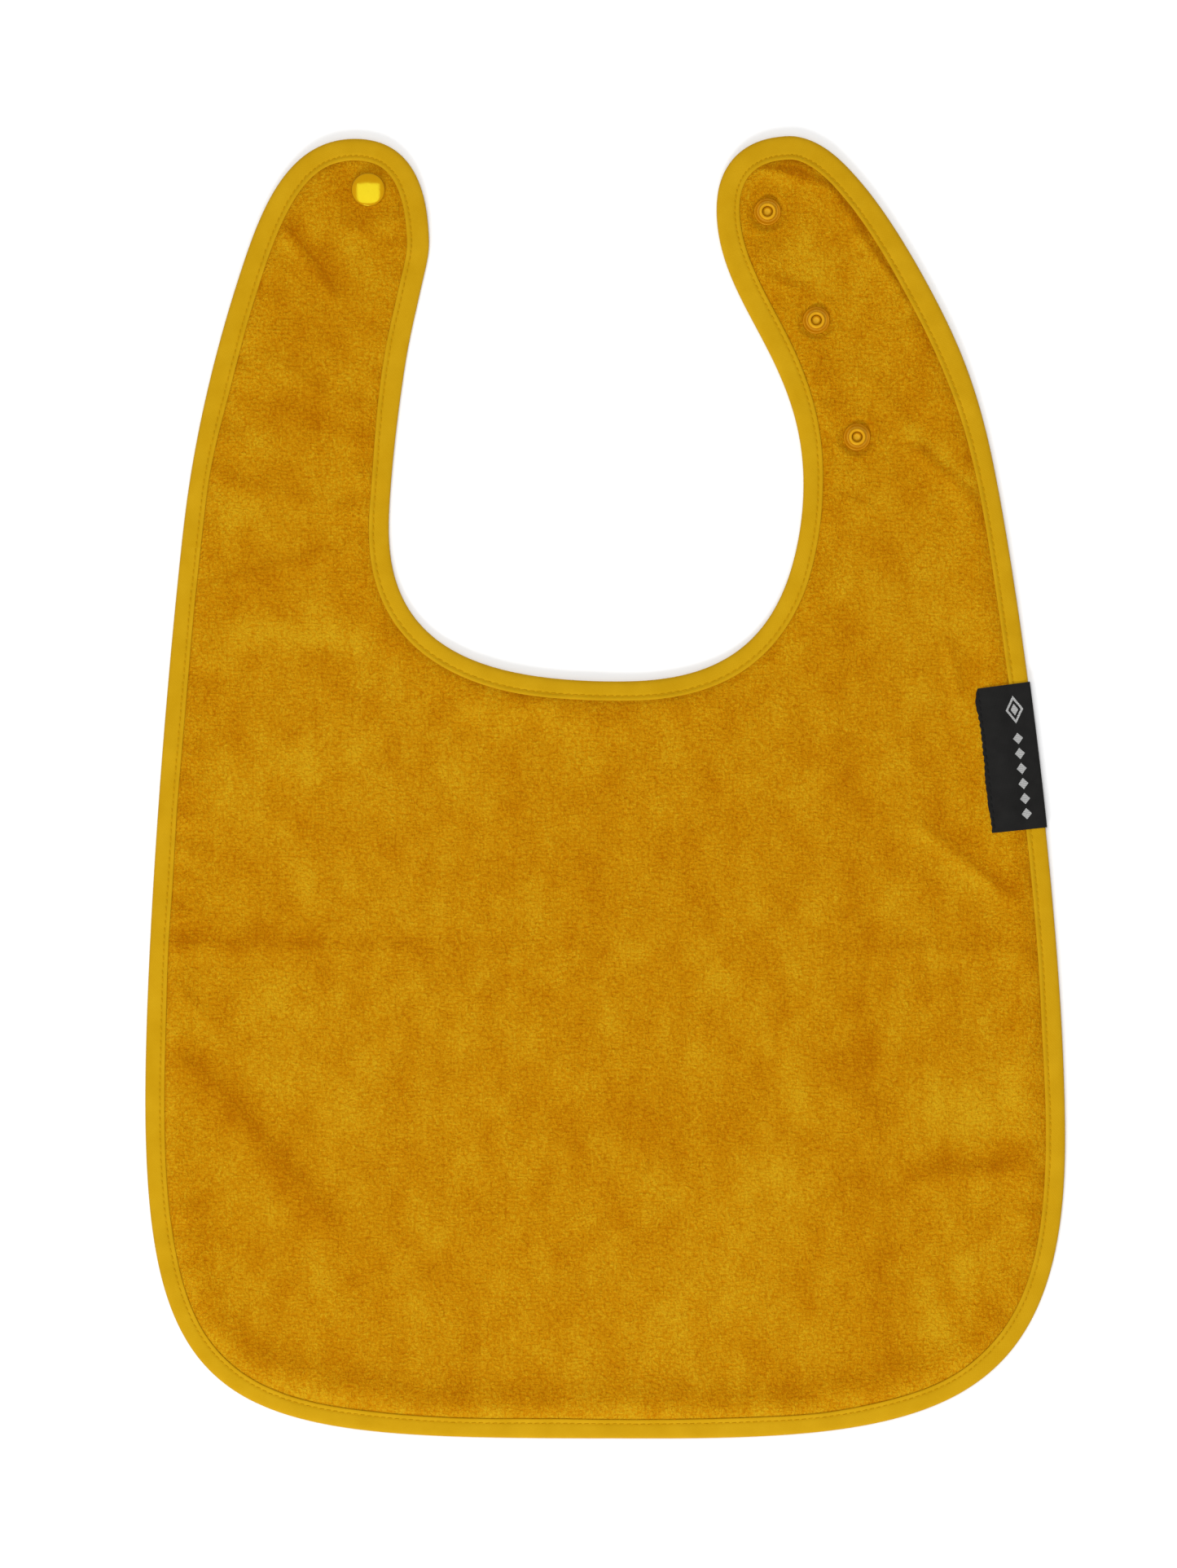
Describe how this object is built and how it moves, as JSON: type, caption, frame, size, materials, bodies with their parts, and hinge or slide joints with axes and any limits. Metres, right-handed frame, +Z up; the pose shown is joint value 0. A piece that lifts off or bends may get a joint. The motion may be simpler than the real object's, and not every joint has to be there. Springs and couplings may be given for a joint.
{
  "type": "baby bib",
  "caption": "Towelling baby bib with a waterproof back, bound edges, a folded side label and neck tabs that close with press studs.",
  "frame": {"origin": "middle of the bib's footprint, on the surface that it lies on", "axes": "+X to the side with the label, +Y from the hem to the neck tabs, +Z up out of the towelling face"},
  "size_m": [0.339, 0.48, 0.0051],
  "materials": {
    "velour": "velour towelling, short dense pile with a brushed, blotchy shading",
    "backing": "fine knit with a thin waterproof film, smooth satin",
    "binding": "fine plain woven tape, matt",
    "thread": "spun sewing thread",
    "label": "damask woven label with pale grey woven marks, soft satin",
    "label_thread": "spun sewing thread",
    "snap_plastic": "moulded acetal, glossy"
  },
  "bodies": {
    "panel": {"towelling_panel": "velour", "backing_panel": "backing", "hem_binding": "binding", "neck_binding": "binding", "hem_needle_thread": "thread", "neck_needle_thread": "thread", "hem_bobbin_thread": "thread", "neck_bobbin_thread": "thread", "side_label": "label", "label_needle_thread": "label_thread", "label_bobbin_thread": "label_thread"},
    "left_tab": {"towelling_left_tab": "velour", "backing_left_tab": "backing", "left_tab_binding": "binding", "left_tab_needle_thread": "thread", "left_tab_bobbin_thread": "thread", "front_snap_cap": "snap_plastic", "back_snap_socket": "snap_plastic"},
    "right_tab": {"towelling_right_tab": "velour", "backing_right_tab": "backing", "right_tab_binding": "binding", "right_tab_needle_thread": "thread", "right_tab_bobbin_thread": "thread", "snap_stud_1": "snap_plastic", "snap_stud_2": "snap_plastic", "snap_stud_3": "snap_plastic", "back_snap_cap_1": "snap_plastic", "back_snap_cap_2": "snap_plastic", "back_snap_cap_3": "snap_plastic"}
  },
  "joints": [
    {"name": "left_tab_fold", "type": "hinge", "parent": "panel", "child": "left_tab", "pos_m": [-0.1176, 0.095, 0.00145], "axis": [1, 0, 0], "range_deg": [-150, 150]},
    {"name": "right_tab_fold", "type": "hinge", "parent": "panel", "child": "right_tab", "pos_m": [0.1096, 0.095, 0.00145], "axis": [1, 0, 0], "range_deg": [-150, 150]}
  ]
}
